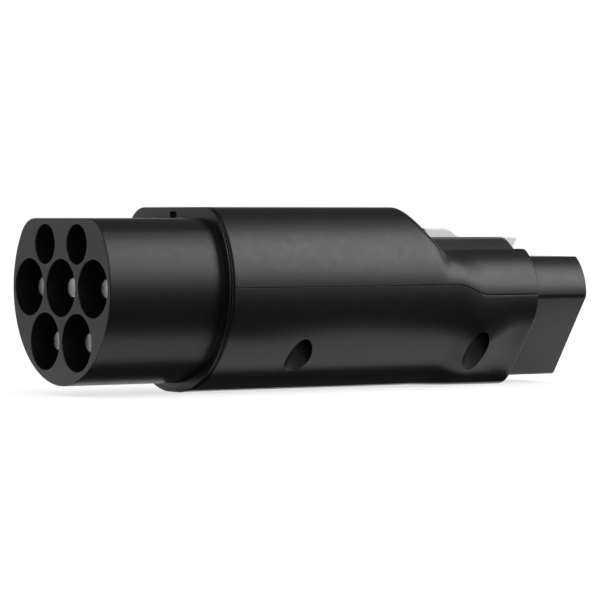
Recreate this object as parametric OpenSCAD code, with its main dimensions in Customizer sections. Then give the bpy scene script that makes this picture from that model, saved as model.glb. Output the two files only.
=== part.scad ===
// Adapter that joins a seven contact charging connector to a flat sided battery plug.
// X runs along the adapter from the inlet face to the plug tip and Z is up.
// The origin is the point where the earth contact's axis meets the inlet face.
// All sizes are in millimetres.

/* [Inlet nose] */
// Length of the nose in front of the flange
nose_len = 35; // [32:0.5:40]
// Radius of the nose
nose_r = 26.15; // [25.9:0.05:26.4]
// Height of the nose's flat top above its axis
nose_flat = 18.5; // [18:0.1:19]
// Radius of the corners between the flat top and the round side
nose_corner = 8.5; // [5:0.5:9]
// Distance between the axes of neighbouring power contacts
contact_pitch = 17; // [16.6:0.1:17.2]
// Height of the lower contact row below the earth contact
low_row_drop = 14.4; // [14:0.1:14.8]
// Height of the signal contact row above the earth contact
signal_row_rise = 11.6; // [11.4:0.1:12]
// Radius of a power contact's well
well_r = 7.7; // [7.3:0.1:7.9]
// Radius of a signal contact's well
signal_well_r = 5.33; // [5:0.01:5.4]
// Depth of all seven wells
well_depth = 33; // [30:0.5:33]

/* [Inlet contacts] */
// Radius of a power pin
pin_r = 3; // [2.8:0.05:3.2]
// Distance of the power pins' tips behind the inlet face
pin_setback = 4; // [3.8:0.1:6]
// Distance of the earth pin's tip behind the inlet face
earth_setback = 3.5; // [3.3:0.1:5]
// Radius of a signal pin
signal_pin_r = 1.5; // [1.2:0.05:1.8]
// Distance of the signal pins' tips behind the inlet face
signal_setback = 9; // [8:0.5:12]
// Length of the pins' tails behind the flange
tail_len = 15; // [13:0.5:16]
// Thickness of the plate that holds the pins
retainer_t = 3; // [2:0.2:4]

/* [Flange] */
// Thickness of the flange
flange_t = 1.2; // [1:0.1:2]
// How far the flange stands out past the housing
flange_lip = 0.25; // [0.1:0.05:0.5]
// Thickness of the gasket behind the flange
gasket_t = 0.4; // [0.3:0.05:1]
// How far the gasket's edge lies inside the flange's edge
gasket_inset = 0.7; // [0.4:0.1:1]
// Length of the spigot that enters the housing
spigot_len = 10; // [9:0.5:12]
// Width of the notch in the top of the flange
notch_w = 3.4; // [2:0.2:5]
// Height of the notch above the nose's flat top
notch_h = 1.8; // [1:0.1:2.4]

/* [Housing] */
// Length of the straight barrel behind the gasket
barrel_len = 59.4; // [56:0.2:66]
// Radius of the barrel
body_r = 28.65; // [28.5:0.05:30]
// Height of the barrel's flat top above the axis
body_flat = 21.45; // [21.2:0.05:22.5]
// Radius of the corners beside the barrel's flat top
body_corner = 9; // [6:0.5:10]
// Wall thickness of both shells
wall = 2; // [1.8:0.1:2.2]
// Length of the neck, with the shoulder
neck_len = 41.6; // [40:0.2:46]
// Length of the shoulder's slope
shoulder_len = 12; // [10:0.5:14]
// Height of the neck's top above the axis
neck_top = 9.8; // [9.4:0.1:10.4]
// Radius of the neck's upper sides
neck_side_r = 16; // [15:0.5:20]
// Radius of the neck's top corners
neck_corner = 3; // [2.8:0.1:4]
// Radius of the crease along the neck's sides
neck_crease_r = 8; // [5:0.5:10]
// Slope of the neck's lower sides from the vertical
neck_slope = 34.2; // [32:0.2:36]
// Radius of the neck's bottom corners
neck_foot_r = 7; // [5:0.5:9]
// Drop of the parting line at the neck
seam_drop = 2.95; // [1:0.05:4]

/* [Plug] */
// Length of the plug beyond the neck
plug_len = 18.7; // [16:0.1:22]
// Running gap around the plug in the neck's mouth
plug_gap = 0.3; // [0.2:0.05:0.5]
// Radius of the plug's root inside the neck
root_r = 23.2; // [22.4:0.1:23.4]
// Radius of the bore in a power sleeve
sleeve_bore_r = 2.5; // [2:0.1:2.8]
// Wall thickness of a power sleeve
sleeve_wall = 1; // [0.7:0.1:1.3]
// Length of a power sleeve's bore
sleeve_len = 16; // [14:0.5:18]
// Distance of the line and neutral sleeves from the middle
sleeve_spread = 11; // [10:0.5:12]
// Radius of the bore in a signal sleeve
signal_bore_r = 0.8; // [0.6:0.05:1]
// Length of a signal sleeve's bore
signal_sleeve_len = 12; // [10:0.5:14]

/* [Latch] */
// Width of the latch lever
lever_w = 10; // [8:0.5:12]
// Gap on each side of the lever
lever_gap = 0.3; // [0.2:0.05:0.5]
// Height of the thumb pad's top above the axis
pad_top = 15.55; // [15:0.05:16]
// Length of the thumb pad's flat top
pad_len = 6.7; // [5:0.1:8]
// Height of the lever arm's top above the axis
arm_top = 12.85; // [12.6:0.05:13.2]
// Thickness of the lever arm
arm_t = 2.6; // [2.2:0.1:2.8]
// How far the lever's tip reaches past the neck
tip_reach = 10; // [8:0.5:12]
// Height of the hook under the lever's tip
hook_h = 1.7; // [1:0.1:1.9]
// Half width of the raised deck around the lever
deck_half_w = 17.3; // [14:0.1:18]
// Radius of the lever's hinge pin
hinge_r = 1; // [0.9:0.05:1.1]
// Running clearance of the lever on its pin
hinge_gap = 0.05; // [0.03:0.01:0.08]
// Radius of the spring's wire
spring_wire_r = 0.3; // [0.2:0.05:0.4]
// Outer radius of the spring
spring_r = 2.4; // [2:0.1:3]

/* [Screws] */
// Distance of the front housing screws behind the gasket
front_screw_dx = 24.6; // [22:0.2:26]
// Distance of the rear housing screws from the neck's end
rear_screw_dx = 17.6; // [17:0.1:18]
// Distance of the housing screws inside the barrel's side
screw_inset = 6.75; // [6.65:0.05:7.1]
// Radius of a housing screw's shank
screw_r = 1.4; // [1.2:0.05:1.5]
// Length of a housing screw's shank
screw_len = 12; // [10:0.5:13]
// Radius of a housing screw's head
screw_head_r = 2.8; // [2.6:0.1:3]
// Height of a housing screw's head
screw_head_h = 2; // [1.6:0.1:2.4]
// Radius of a screw well
screw_well_r = 3.85; // [3.5:0.05:4]
// Thickness under a screw's head
screw_floor = 3.1; // [2:0.1:4]
// Radius of a small screw's shank
small_screw_r = 1.2; // [1:0.05:1.3]
// Radius of a small screw's head
small_head_r = 2.2; // [2:0.1:2.4]
// Height of a small screw's head
small_head_h = 1.5; // [1.2:0.1:1.8]

/* [Electronics] */
// Length of the circuit board
board_len = 46; // [44:0.5:50]
// Width of the circuit board
board_w = 30; // [28:0.5:31]
// Thickness of the circuit board
board_t = 1.6; // [1:0.1:2]
// Height of the board's top below the axis
board_drop = 7.4; // [7:0.1:8]
// Length of the relay
relay_len = 20; // [18:0.5:22]
// Width of the relay
relay_w = 16; // [14:0.5:17]
// Height of the relay
relay_h = 15; // [13:0.5:15.5]
// Radius of a power wire
wire_r = 2; // [1.5:0.1:2.1]
// Radius of a signal wire
signal_wire_r = 0.7; // [0.5:0.05:0.9]

/* [Hidden] */
$fn = 64;

// Small distances shared by the whole model
seat_gap = 0.05;
slip_gap = 0.3;
cut_over = 1;
merge = 0.6;

// Stations along the adapter
x_flange = nose_len;
x_gasket = x_flange + flange_t;
x_shell = x_gasket + gasket_t;
x_shoulder = x_shell + barrel_len;
x_neck_end = x_shoulder + neck_len;
x_tip = x_neck_end + plug_len;
x_tail = x_flange + tail_len;
x_shoulder_end = x_shoulder + shoulder_len;

// Blends of the neck: crown of its upper sides, parting line and lower sides
crown_start = x_shoulder + 4;
crown_end = x_neck_end - 18.6;
seam_start = x_neck_end - 27.6;
seam_end = x_neck_end - 18.6;
keel_start = x_neck_end - 24;
keel_end = x_neck_end - 2.6;
loft_steps = 20;
corner_steps = 5;
side_steps = 6;
round_steps = 32;
body_foot_r = body_r - 0.65;

// Inlet sizes that follow from the driving ones
flange_r = body_r + flange_lip;
signal_side = contact_pitch / 2;
power_spots = [[0, 0], [-contact_pitch, 0], [contact_pitch, 0],
    [contact_pitch / 2, -low_row_drop], [-contact_pitch / 2, -low_row_drop]];
signal_spots = [[signal_side, signal_row_rise], [-signal_side, signal_row_rise]];
spigot_r = body_r - wall - 0.35;
spigot_flat = body_flat - wall - 0.35;
spigot_corner = body_corner - wall - 0.35;
spigot_wall = 3.9;
rib_x = x_gasket + 3.7;
rib_w = 1.6;
rib_depth = 1.4;
pin_shoulder_r = 4.2;
pin_shoulder_t = 1.5;
pin_root_r = pin_r - 0.2;
pin_stem_r = pin_r - 0.8;
signal_root_r = signal_pin_r - 0.2;
signal_shoulder_r = 2.4;
tip_round = 0.9;
signal_tip_round = 0.5;
x_retainer = x_gasket + pin_shoulder_t;
x_retainer_back = x_retainer + retainer_t;
retainer_r = spigot_r - spigot_wall - 0.2;
retainer_flat = spigot_flat - spigot_wall - 0.2;
retainer_screw_ring = spigot_r - spigot_wall - small_head_r - 0.6;
retainer_screw_len = 10;
retainer_screw_turns = [32, 148, 270];

// Housing screws: x, y and height of the parting line there
x_front_screw = x_shell + front_screw_dx;
x_rear_screw = x_neck_end - rear_screw_dx;
screw_rows = [[x_front_screw, 0], [x_rear_screw, -seam_drop]];
screw_side = body_r - screw_inset;
well_tube_r = screw_well_r + 1.5;
boss_r = 3.75;

// Plug sizes that follow
plug_inset = wall + plug_gap;
x_root = x_neck_end - 8.4;
root_top = neck_top - wall - 0.6;
x_plug_rib = x_root + 3.4;
x_socket_plate = x_root - 2;
socket_plate_t = 2 - seat_gap;
x_sleeve_tail = x_socket_plate - 4;
sleeve_r = sleeve_bore_r + sleeve_wall;
sleeve_cover = 0.8;
line_spot = [sleeve_spread, -3];
neutral_spot = [-sleeve_spread, -3];
earth_spot = [0, -17];
signal_sleeve_r = signal_bore_r + 0.5;
signal_sleeve_side = 3.2;
signal_sleeve_heights = [0, -6.5];
sleeve_stem_r = 2.2;
signal_stem_r = 0.7;

// Latch sizes that follow
hinge_x = x_neck_end - 14.6;
hinge_z = neck_top - 3.6;
hub_r = hinge_r + 1.2;
hub_neck = 2 * hub_r - 0.8;
pad_front = x_neck_end - 22.9;
pad_back = pad_front + pad_len;
pocket_front = pad_front - 1.3;
pocket_back = hinge_x + hub_r + 0.4;
pocket_floor = hinge_z - hub_r - 0.6;
latch_block_wall = 1.2;
pocket_half_w = lever_w / 2 + lever_gap;
latch_block_half_w = pocket_half_w + 3.3;
ledge_half_w = pocket_half_w + 1.5;
ledge_top = pad_top + 0.05;
channel_floor = neck_top - 0.4;
arm_bottom = arm_top - arm_t;
pad_bottom = arm_bottom;
pad_slope_len = 6;
tip_x = x_neck_end + tip_reach;
tip_lean = 0.62;
deck_end = 4.5;
spring_x = pad_front + 3.3;
spring_turns = 6;

// Electronics positions
board_x = x_shell + 18.4;
board_top = -board_drop;
post_inset = 4;
post_side = board_w / 2 - 3;
post_r = 2.6;
relay_x = board_x + 9;
header_x = relay_x + relay_len + 4;
header_len = 8;
header_w = 16;
header_h = 6;
relay_top = board_top + relay_h;
over_relay = relay_top + wire_r + 1;

function mix(a, b, t) = a + (b - a) * t;
function ease(a, b, x) = let (t = min(1, max(0, (x - a) / (b - a)))) t * t * (3 - 2 * t);
function reversed(v) = [for (i = [len(v) - 1:-1:0]) v[i]];
function mirrored(v) = [for (p = v) [-p[0], p[1]]];
function placed(x, v) = [for (p = v) [x, p[0], p[1]]];
function arc(cy, cz, r, a0, a1, n) =
    [for (i = [0:n]) let (a = mix(a0, a1, i / n)) [cy + r * cos(a), cz + r * sin(a)]];

// Values of the housing's section that change along the neck
function seam_z(x) = -seam_drop * ease(seam_start, seam_end, x);
function top_z(x) = mix(body_flat, neck_top, ease(x_shoulder, x_shoulder_end, x));
function corner_r(x) = mix(body_corner, neck_corner, ease(x_shoulder, x_shoulder_end, x));
function crown_r(x) = mix(body_r, neck_side_r, ease(crown_start, crown_end, x));
function crease_r(x) = mix(body_r, neck_crease_r, ease(keel_start, keel_end, x));
function foot_r(x) = mix(body_foot_r + 2.5 * seam_z(x), neck_foot_r, ease(keel_start, keel_end, x));

// Right half of the section above the parting line, from the top flat down, set in by d
function upper_half(x, d) =
    let (z0 = seam_z(x), rc = corner_r(x), rs = crown_r(x), zc = top_z(x) - rc, ys = body_r - rs)
    let (yc = ys + sqrt(max(0.01, pow(rs - rc, 2) - pow(zc - z0, 2))), turn = atan2(zc - z0, yc - ys))
    concat(arc(yc, zc, rc - d, 90, turn, corner_steps),
        [for (i = [1:side_steps]) let (a = turn * (1 - i / side_steps))
            [ys + (rs - d) * cos(a), z0 + (rs - d) * sin(a)]]);

// Right half of the section below the parting line, from the parting line down, set in by d
function lower_half(x, d) =
    let (z0 = seam_z(x), ra = crease_r(x), rb = foot_r(x), a = neck_slope, zb = rb - body_r)
    let (yb = ((body_r - ra) * cos(a) - z0 * sin(a) + ra + zb * sin(a) - rb) / cos(a))
    concat(arc(body_r - ra, z0, ra - d, 0, -a, corner_steps),
        arc(yb, zb, rb - d, -a, -90, corner_steps + 1));

function upper_arch(x, d) = let (h = upper_half(x, d)) concat(reversed(h), mirrored(h));
function lower_arch(x, d) = let (h = lower_half(x, d)) concat(mirrored(h), reversed(h));
function without_first(v) = [for (i = [1:len(v) - 1]) v[i]];
function without_ends(v) = [for (i = [1:len(v) - 2]) v[i]];
function whole_section(x, d) = concat(upper_arch(x, d), without_ends(lower_arch(x, d)));

stations = concat([x_shell], [for (i = [0:loft_steps]) x_shoulder + i * neck_len / loft_steps]);

// Solid through rings of equal length that follow each other along +X.
// A folded ring runs out along an arch and back along the arch inside it.
module loft(rings, folded = false) {
    n = len(rings[0]);
    last = (len(rings) - 1) * n;
    sides = [for (i = [0:len(rings) - 2], j = [0:n - 1])
        let (a = i * n + j, b = i * n + (j + 1) % n)
        each [[a, a + n, b + n], [a, b + n, b]]];
    folds = [for (j = [0:n / 2 - 2]) each [[j, j + 1, n - 2 - j], [j, n - 2 - j, n - 1 - j]]];
    fan = [for (j = [1:n - 2]) [0, j, j + 1]];
    front = folded ? folds : fan;
    back = [for (f = front) [last + f[2], last + f[1], last + f[0]]];
    polyhedron(points = [for (r = rings) each r], faces = concat(front, sides, back), convexity = 6);
}

// Points along a smooth curve through the chosen ones. The shorter side rules its direction at a point
function step_before(p, i) = i == 0 ? p[1] - p[0] : p[i] - p[i - 1];
function step_after(p, i) = i == len(p) - 1 ? p[i] - p[i - 1] : p[i + 1] - p[i];
function unit(v) = v / norm(v);
function heading(p, i) =
    let (a = step_before(p, i), b = step_after(p, i))
    unit(a / (a * a) + b / (b * b));
function curve_point(p, i, t) =
    let (reach = norm(p[i + 1] - p[i]))
    mix(p[i], p[i + 1], ease(0, 1, t))
        + reach * t * (1 - t) * ((1 - t) * heading(p, i) - t * heading(p, i + 1));
function smooth_path(p, n) = concat(
    [for (i = [0:len(p) - 2], k = [0:n - 1]) curve_point(p, i, k / n)], [p[len(p) - 1]]);
function hoop(centre, along, side, r, n) =
    let (u = unit(cross(along, side)), v = cross(along, u))
    [for (k = [0:n - 1]) let (a = 360 * k / n) centre + r * (cos(a) * u + sin(a) * v)];

// Round tube along a path, where side is a direction that the path never takes
module sweep(path, r, side, n = 8) {
    loft([for (i = [0:len(path) - 1]) hoop(path[i], heading(path, i), side, r, n)]);
}

module along_x(x, len) {
    translate([x, 0, 0])
        rotate([90, 0, 90])
            linear_extrude(len) children();
}

module x_rod(x, spot, r, len) {
    translate([x, spot[0], spot[1]])
        rotate([0, 90, 0])
            cylinder(r = r, h = len);
}

module z_rod(x, y, z, r, len) {
    translate([x, y, z])
        cylinder(r = r, h = len);
}

// Round outline with a flat top and rounded corners beside it
module d_outline(r, flat, corner) {
    cy = sqrt(pow(r - corner, 2) - pow(flat - corner, 2));
    cz = flat - corner;
    turn = atan2(cz, cy);
    side_arc = arc(0, 0, r, -90, turn, round_steps);
    right = concat(side_arc, without_first(arc(cy, cz, corner, turn, 90, corner_steps)));
    polygon(concat(right, reversed(mirrored(without_first(right)))));
}

module flat_disc(r, top) {
    intersection() {
        circle(r);
        translate([-r, -r])
            square([2 * r, r + top]);
    }
}

module flange_outline(inset) {
    intersection() {
        d_outline(flange_r - inset, body_flat - inset, body_corner - inset);
        translate([-flange_r, -body_r])
            square(2 * flange_r);
    }
}

module inlet_body() {
    color("#1c1c1e")
        difference() {
            union() {
                along_x(0, nose_len + flange_t / 2) d_outline(nose_r, nose_flat, nose_corner);
                along_x(x_flange, flange_t) flange_outline(0);
                along_x(x_flange + flange_t / 2, spigot_len + flange_t / 2)
                    d_outline(spigot_r, spigot_flat, spigot_corner);
            }
            for (spot = power_spots) {
                x_rod(-cut_over, spot, well_r, well_depth + cut_over);
                x_rod(well_depth - cut_over, spot, pin_root_r + seat_gap, nose_len);
            }
            for (spot = signal_spots) {
                x_rod(-cut_over, spot, signal_well_r, well_depth + cut_over);
                x_rod(well_depth - cut_over, spot, signal_root_r + seat_gap, nose_len);
            }
            along_x(x_gasket, spigot_len + cut_over)
                d_outline(spigot_r - spigot_wall, spigot_flat - spigot_wall, 2);
            along_x(rib_x - slip_gap, rib_w + 2 * slip_gap)
                difference() {
                    circle(2 * body_r);
                    d_outline(spigot_r - rib_depth - slip_gap, spigot_flat - rib_depth - slip_gap,
                        spigot_corner - rib_depth);
                }
            translate([x_flange - cut_over, -notch_w / 2, nose_flat])
                cube([cut_over + flange_t / 2, notch_w, notch_h]);
            for (a = retainer_screw_turns)
                x_rod(x_retainer_back - retainer_screw_len - slip_gap,
                    retainer_screw_ring * [cos(a), sin(a)], small_screw_r + seat_gap, nose_len);
        }
}

module inlet_gasket() {
    color("#0c0c0c")
        along_x(x_gasket, gasket_t)
            difference() {
                flange_outline(gasket_inset);
                d_outline(spigot_r + seat_gap, spigot_flat + seat_gap, spigot_corner);
            }
}

// Turned contact: tip, shaft to the well's floor, root, shoulder and tail
module contact_pin(spot, setback, r, tip, root_r, shoulder_r, stem_r) {
    shaft_end = well_depth - 0.1;
    translate([0, spot[0], spot[1]])
        rotate([0, 90, 0])
            rotate_extrude() {
                translate([0, setback])
                    square([r - tip, shaft_end - setback]);
                translate([0, setback + tip])
                    square([r, shaft_end - setback - tip]);
                translate([r - tip, setback + tip])
                    circle(tip);
                translate([0, shaft_end - tip])
                    square([root_r, x_gasket - shaft_end + tip + seat_gap]);
                translate([0, x_gasket + seat_gap])
                    square([shoulder_r, pin_shoulder_t - 2 * seat_gap]);
                translate([0, x_gasket + seat_gap])
                    square([stem_r, x_tail - x_gasket - seat_gap]);
            }
}

module power_pin(spot, setback) {
    color("#b8b6b0")
        contact_pin(spot, setback, pin_r, tip_round, pin_root_r, pin_shoulder_r, pin_stem_r);
}

module signal_pin(spot) {
    color("#b8b6b0")
        contact_pin(spot, signal_setback, signal_pin_r, signal_tip_round, signal_root_r,
            signal_shoulder_r, signal_wire_r);
}

module earth_pin() {
    power_pin(power_spots[0], earth_setback);
}

module neutral_pin() {
    power_pin(power_spots[1], pin_setback);
}

module line_1_pin() {
    power_pin(power_spots[2], pin_setback);
}

module line_2_pin() {
    power_pin(power_spots[3], pin_setback);
}

module line_3_pin() {
    power_pin(power_spots[4], pin_setback);
}

module pilot_pin() {
    signal_pin(signal_spots[0]);
}

module proximity_pin() {
    signal_pin(signal_spots[1]);
}

module pin_retainer() {
    color("#3a3a3c")
        difference() {
            along_x(x_retainer, retainer_t) d_outline(retainer_r, retainer_flat, 2);
            for (spot = power_spots)
                x_rod(x_retainer - cut_over, spot, pin_stem_r + seat_gap, retainer_t + 2 * cut_over);
            for (spot = signal_spots)
                x_rod(x_retainer - cut_over, spot, signal_wire_r + seat_gap, retainer_t + 2 * cut_over);
            for (a = retainer_screw_turns)
                x_rod(x_retainer - cut_over, retainer_screw_ring * [cos(a), sin(a)],
                    small_screw_r + seat_gap, retainer_t + 2 * cut_over);
        }
}

module retainer_screws() {
    color("#9a9a9c")
        for (a = retainer_screw_turns) {
            spot = retainer_screw_ring * [cos(a), sin(a)];
            x_rod(x_retainer_back - retainer_screw_len, spot, small_screw_r, retainer_screw_len + seat_gap);
            x_rod(x_retainer_back + seat_gap, spot, small_head_r, small_head_h);
        }
}

// Inward ribs that grip the spigot and the plug's root, as full rings
module spigot_rib_outline() {
    difference() {
        circle(body_r - merge);
        d_outline(spigot_r - rib_depth, spigot_flat - rib_depth, spigot_corner - rib_depth);
    }
}

module plug_rib_outline() {
    difference() {
        polygon(whole_section(x_neck_end, merge));
        flat_disc(root_r - rib_depth, root_top - rib_depth);
    }
}

// Everything above a height, for outlines across the adapter
module upper_side(height) {
    translate([-2 * body_r, height])
        square(4 * body_r);
}

module lower_side(height) {
    translate([-2 * body_r, height - 4 * body_r])
        square(4 * body_r);
}

module deck_profile() {
    polygon([[x_shoulder + 7.5, neck_top - 1.2], [x_shoulder + 7.5, arm_top],
        [x_neck_end - deck_end, arm_top], [x_neck_end, neck_top - 0.1], [x_neck_end, neck_top - 1.2]]);
}

module across_y(half_w) {
    rotate([90, 0, 0])
        translate([0, 0, -half_w])
            linear_extrude(2 * half_w) children();
}

module upper_shell() {
    color("#1c1c1e")
        difference() {
            union() {
                loft([for (x = stations)
                    placed(x, concat(upper_arch(x, 0), reversed(upper_arch(x, wall))))], true);
                along_x(rib_x, rib_w)
                    intersection() {
                        spigot_rib_outline();
                        flat_disc(2 * body_r, body_flat - merge);
                        upper_side(seat_gap);
                    }
                along_x(x_plug_rib, rib_w)
                    intersection() {
                        plug_rib_outline();
                        upper_side(seat_gap - seam_drop);
                    }
                for (s = [-1, 1]) {
                    intersection() {
                        z_rod(x_front_screw, s * screw_side, seat_gap, boss_r, body_flat);
                        along_x(x_front_screw - 2 * boss_r, 4 * boss_r)
                            flat_disc(body_r - merge, body_flat - merge);
                    }
                    intersection() {
                        z_rod(x_rear_screw, s * screw_side, seat_gap - seam_drop, boss_r,
                            neck_top + seam_drop - 1);
                        along_x(x_rear_screw - 2 * boss_r, 4 * boss_r)
                            translate([s * (body_r - neck_side_r), -seam_drop])
                                circle(neck_side_r - 1);
                    }
                }
                across_y(deck_half_w) deck_profile();
                translate([x_shoulder + 5, -ledge_half_w, neck_top])
                    cube([pocket_front - x_shoulder - 5, 2 * ledge_half_w, ledge_top - neck_top]);
                translate([pocket_front - latch_block_wall, -latch_block_half_w,
                    pocket_floor - latch_block_wall])
                    cube([pocket_back - pocket_front + 2 * latch_block_wall, 2 * latch_block_half_w,
                        arm_top - pocket_floor]);
            }
            translate([pocket_front, -pocket_half_w, pocket_floor])
                cube([pocket_back - pocket_front, 2 * pocket_half_w, body_flat]);
            translate([pocket_front, -pocket_half_w, channel_floor])
                cube([neck_len, 2 * pocket_half_w, body_flat]);
            translate([hinge_x, latch_block_half_w + seat_gap, hinge_z])
                rotate([90, 0, 0])
                    cylinder(r = hinge_r + 0.02, h = 2 * (latch_block_half_w + seat_gap));
            for (row = screw_rows, s = [-1, 1])
                z_rod(row[0], s * screw_side, row[1] - cut_over, screw_r + seat_gap,
                    cut_over + screw_len - screw_floor + slip_gap);
        }
}

module lower_shell() {
    color("#1c1c1e")
        difference() {
            union() {
                loft([for (x = stations)
                    placed(x, concat(lower_arch(x, 0), reversed(lower_arch(x, wall))))], true);
                along_x(rib_x, rib_w)
                    intersection() {
                        spigot_rib_outline();
                        lower_side(-seat_gap);
                    }
                along_x(x_plug_rib, rib_w)
                    intersection() {
                        plug_rib_outline();
                        lower_side(-seat_gap - seam_drop);
                    }
                for (row = screw_rows, s = [-1, 1])
                    intersection() {
                        z_rod(row[0], s * screw_side, -body_r, well_tube_r, 2 * body_r);
                        along_x(row[0] - 2 * well_tube_r, 4 * well_tube_r)
                            flat_disc(body_r - 2 * merge, row[1] - seat_gap);
                    }
                for (dx = [post_inset, board_len - post_inset], s = [-1, 1])
                    intersection() {
                        z_rod(board_x + dx, s * post_side, -body_r, post_r, body_r + board_top - board_t);
                        along_x(board_x, board_len) circle(body_r - merge);
                    }
            }
            for (row = screw_rows, s = [-1, 1]) {
                z_rod(row[0], s * screw_side, -2 * body_r, screw_well_r, 2 * body_r + row[1] - screw_floor);
                z_rod(row[0], s * screw_side, -body_r, screw_r + slip_gap, 2 * body_r);
            }
            for (dx = [post_inset, board_len - post_inset], s = [-1, 1])
                z_rod(board_x + dx, s * post_side, board_top - board_t - 7, small_screw_r + seat_gap, 8);
        }
}

module housing_screws() {
    color("#8c8c90")
        for (row = screw_rows, s = [-1, 1]) {
            head_z = row[1] - screw_floor - seat_gap;
            difference() {
                z_rod(row[0], s * screw_side, head_z - screw_head_h, screw_head_r, screw_head_h);
                z_rod(row[0], s * screw_side, head_z - screw_head_h - cut_over, 1.1, cut_over + 1.2, $fn = 6);
            }
            z_rod(row[0], s * screw_side, head_z, screw_r, screw_len);
        }
}

module control_board() {
    color("#1f5c3a")
        difference() {
            translate([board_x, -board_w / 2, board_top - board_t + seat_gap])
                cube([board_len, board_w, board_t - seat_gap]);
            for (dx = [post_inset, board_len - post_inset], s = [-1, 1])
                z_rod(board_x + dx, s * post_side, board_top - 2 * board_t, small_screw_r + 0.1, 4 * board_t);
        }
}

module board_screws() {
    color("#9a9a9c")
        for (dx = [post_inset, board_len - post_inset], s = [-1, 1]) {
            z_rod(board_x + dx, s * post_side, board_top - board_t - 6, small_screw_r,
                board_t + 6 + seat_gap);
            z_rod(board_x + dx, s * post_side, board_top + seat_gap, small_head_r, small_head_h);
        }
}

module relay() {
    color("#2b4a7a")
        translate([relay_x, -relay_w / 2, board_top + seat_gap])
            cube([relay_len, relay_w, relay_h - seat_gap]);
}

// Capacitor and chips on the board
module board_parts() {
    color("#2a2a2c") {
        z_rod(board_x + 4.6, 0, board_top + seat_gap, 4, 7);
        for (s = [-1, 1])
            translate([relay_x + 4, s * (board_w / 2 - 3.5) - 2, board_top + seat_gap])
                cube([7, 4, 1.6]);
        for (i = [0:3])
            translate([relay_x + 13 + 2.4 * i, board_w / 2 - 4.5, board_top + seat_gap])
                cube([1.2, 2, 0.8]);
    }
}

module board_header() {
    color("#d8d4c4")
        translate([header_x, -header_w / 2, board_top + seat_gap])
            cube([header_len, header_w, header_h]);
}

module power_wire(points) {
    sweep(smooth_path(points, 3), wire_r, [0, 1, 0]);
}

module signal_wire(points) {
    sweep(smooth_path(points, 3), signal_wire_r, [0, 1, 0], 6);
}

// Ends of the wires at the pins' tails and at the sleeves' tails, which they meet squarely
wire_start = x_tail + seat_gap;
wire_end = x_sleeve_tail - seat_gap;
wire_lane = relay_w / 2 + wire_r + 2.5;
along = [1, 0, 0];
lead = 1.2;
function led_out(p, way) = [p, p + lead * way, p + 2 * lead * way];
function led_in(p, way) = [p - 2 * lead * way, p - lead * way, p];

module earth_wire() {
    color("#5c8a3a")
        power_wire(concat(led_out([wire_start, 0, 0], along),
            [[relay_x - 5, 0, over_relay - 3.5], [relay_x + 2, 0, over_relay],
            [relay_x + relay_len, 0, over_relay], [x_shoulder, 0, over_relay - 5], [x_shoulder + 9, 0, -3],
            [wire_end - 9, 0, earth_spot[1] + 5]], led_in([wire_end, 0, earth_spot[1]], along)));
}

module neutral_wire() {
    color("#3a62a8")
        power_wire(concat(led_out([wire_start, -contact_pitch, 0], along),
            [[relay_x - 4, -wire_lane - 1, 4.5], [relay_x + 4, -wire_lane, 6],
            [relay_x + relay_len, -wire_lane, 6], [x_shoulder + 8, -wire_lane, 1]],
            led_in([wire_end, neutral_spot[0], neutral_spot[1]], along)));
}

module line_wire() {
    color("#7a4a2c")
        power_wire(concat(led_out([wire_start, contact_pitch, 0], along), [[x_tail + 7, 11, 2]],
            led_in([relay_x - seat_gap, 5, 4], along)));
}

module switched_wire() {
    relay_back = relay_x + relay_len;
    color("#7a4a2c")
        power_wire(concat(led_out([relay_back + seat_gap, 5, 4], along),
            [[relay_back + 14, 9.5, 0.6], [x_shoulder + 14, sleeve_spread, -2.6]],
            led_in([wire_end, line_spot[0], line_spot[1]], along)));
}

module pilot_lead(side) {
    header_top = board_top + header_h + 2 * seat_gap;
    signal_wire(concat(led_out([wire_start, side * signal_side, signal_row_rise], along),
        [[relay_x - 2, side * 5.6, relay_top + 2.9], [relay_x + relay_len, side * 5.5, relay_top + 2.7],
        [header_x + 2, side * 2.6, header_top + 6.5]],
        led_in([header_x + 3, side * 1.5, header_top], [0, 0, -1])));
}

module pilot_wire() {
    color("#c8b43c")
        pilot_lead(1);
}

module proximity_wire() {
    color("#d8d8d8")
        pilot_lead(-1);
}

// Four thin wires from the board to the plug's signal sleeves
module signal_loom() {
    start = header_x + header_len + seat_gap;
    header_z = board_top + header_h / 2;
    color("#a8343a")
        for (s = [-1, 1], k = [0, 1]) {
            end_z = signal_sleeve_heights[k];
            signal_wire(concat(led_out([start, s * (4 + 2.4 * k), header_z], along),
                [[start + 10, s * (4 + 1.6 * k), (header_z + end_z) / 2], [wire_end - 9, s * 4, end_z]],
                led_in([wire_end, s * signal_sleeve_side, end_z], along)));
        }
}

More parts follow.
